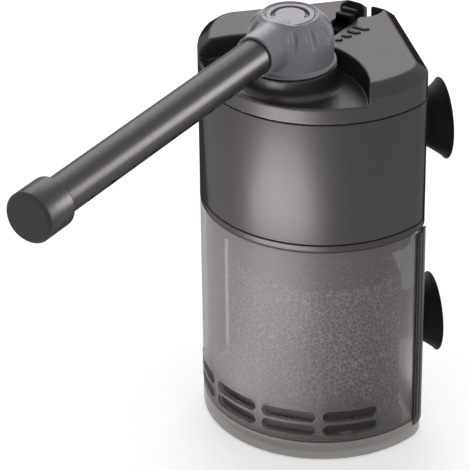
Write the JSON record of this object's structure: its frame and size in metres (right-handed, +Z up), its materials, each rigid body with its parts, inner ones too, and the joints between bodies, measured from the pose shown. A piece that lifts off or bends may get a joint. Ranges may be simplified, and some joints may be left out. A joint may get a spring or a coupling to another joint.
{
  "type": "canister filter",
  "caption": "Corner canister filter with a clear canister and sponge, a motor head, suction cups, a swivelling outlet, a spray bar and a flow lever.",
  "frame": {"origin": "on the base's underside, on the axis of the rounded front wall", "axes": "+Z up, +Y into the tank's corner, +X to the right seen from the front; the spray bar points along -Y at rest"},
  "size_m": [0.0966, 0.2156, 0.1757],
  "materials": {
    "smoky_clear": "smoky clear moulding, glossy",
    "housing_plastic": "satin dark warm grey",
    "rail_plastic": "satin dark grey",
    "tube_plastic": "satin dark grey",
    "knob_plastic": "satin bluish grey",
    "lever_plastic": "matte near-black",
    "cup_rubber": "matte black rubber",
    "seal_rubber": "black rubber",
    "sponge_foam": "open-pored light grey foam",
    "white_plastic": "matte off-white",
    "core_steel": "laminated sheet steel",
    "coil_copper": "enamelled copper wire",
    "shaft_ceramic": "polished white ceramic",
    "magnet_ferrite": "dark grey ferrite",
    "screw_steel": "bright steel"
  },
  "bodies": {
    "canister_body": {"base_cap": "smoky_clear", "canister": "smoky_clear", "corner_rail_left": "rail_plastic", "corner_rail_right": "rail_plastic", "sponge_grid": "smoky_clear", "cup_holder_lower_left": "lever_plastic", "cup_holder_lower_right": "lever_plastic", "suction_cup_lower_left": "cup_rubber", "suction_cup_lower_right": "cup_rubber"},
    "head": {"head_plate": "housing_plastic", "head_seal": "seal_rubber", "inlet_strainer": "housing_plastic", "motor_housing": "housing_plastic", "lid": "housing_plastic", "outlet_duct": "housing_plastic", "motor_case": "white_plastic", "motor_cover": "housing_plastic", "stator_core": "core_steel", "coil_bobbins": "white_plastic", "stator_coils": "coil_copper", "rotor_shaft": "shaft_ceramic", "lower_bush": "seal_rubber", "upper_bush": "seal_rubber", "pump_screws": "screw_steel", "cable_gland": "seal_rubber", "cup_holder_upper_left": "lever_plastic", "cup_holder_upper_right": "lever_plastic", "suction_cup_upper_left": "cup_rubber", "suction_cup_upper_right": "cup_rubber"},
    "sponge": {"filter_sponge": "sponge_foam"},
    "rotor": {"rotor_magnet": "magnet_ferrite", "impeller": "white_plastic"},
    "outlet": {"outlet_knob": "knob_plastic", "knob_cap": "knob_plastic", "outlet_o_ring": "seal_rubber"},
    "bar": {"spray_bar": "tube_plastic"},
    "bar_cap": {"spray_end_cap": "tube_plastic"},
    "flow": {"flow_lever": "lever_plastic", "flow_gate": "white_plastic"}
  },
  "joints": [
    {"name": "head_lift", "type": "slide", "parent": "canister_body", "child": "head", "axis": [0, 0, 1], "range_m": [0, 0.1]},
    {"name": "sponge_lift", "type": "slide", "parent": "canister_body", "child": "sponge", "axis": [0, 0, 1], "range_m": [0, 0.05]},
    {"name": "rotor_spin", "type": "hinge", "parent": "head", "child": "rotor", "pos_m": [0, -0.001, 0.12], "axis": [0, 0, 1], "continuous": true},
    {"name": "outlet_swivel", "type": "hinge", "parent": "head", "child": "outlet", "pos_m": [0, -0.0229, 0.15], "axis": [0, 0, 1], "continuous": true},
    {"name": "spray_bar_turn", "type": "hinge", "parent": "outlet", "child": "bar", "pos_m": [0, -0.04, 0.1667], "axis": [0, 1, 0], "continuous": true},
    {"name": "end_cap_pull", "type": "slide", "parent": "bar", "child": "bar_cap", "axis": [0, -1, 0], "range_m": [0, 0.02]},
    {"name": "flow_slide", "type": "slide", "parent": "head", "child": "flow", "axis": [0, -1, 0], "range_m": [0, 0.0124]}
  ],
  "couplings": [
    {"joint": "sponge_lift", "follows": "head_lift", "ratio": 0.5}
  ]
}
